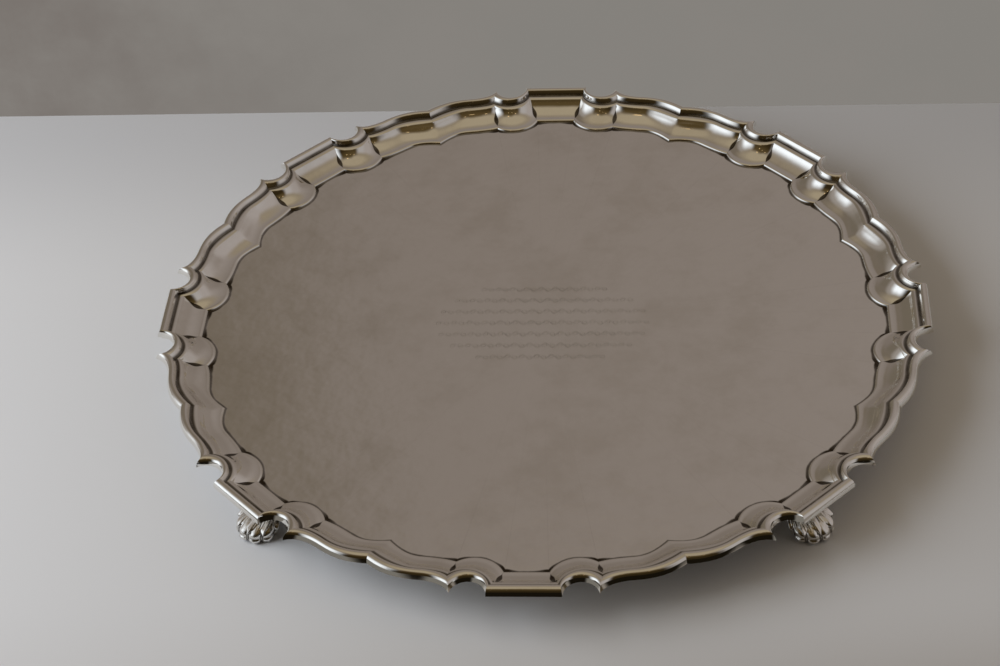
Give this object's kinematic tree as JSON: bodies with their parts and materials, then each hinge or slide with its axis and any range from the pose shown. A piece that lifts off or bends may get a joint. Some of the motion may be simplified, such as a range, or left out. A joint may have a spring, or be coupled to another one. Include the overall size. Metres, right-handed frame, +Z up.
{
  "type": "serving salver",
  "caption": "Round footed serving tray with a shaped, moulded border of repeating lobes and small paw feet.",
  "frame": {"origin": "on the surface the feet stand on, under the centre of the tray", "axes": "+Z up through the tray, the middle of the front straight of the border towards -Y, +X to the right"},
  "size_m": [0.3544, 0.3544, 0.0251],
  "materials": {
    "silver_sheet": "polished silver, softly worn",
    "silver_border": "polished silver, tarnish in the grooves",
    "silver_casting": "cast silver, tarnish in the recesses"
  },
  "bodies": {
    "root": {"tray_plate": "silver_sheet", "border_back": "silver_border", "border_back_left": "silver_border", "border_left": "silver_border", "border_front_left": "silver_border", "border_front": "silver_border", "border_front_right": "silver_border", "border_right": "silver_border", "border_back_right": "silver_border", "foot_back_right": "silver_casting", "foot_back_left": "silver_casting", "foot_front_left": "silver_casting", "foot_front_right": "silver_casting"}
  },
  "joints": []
}
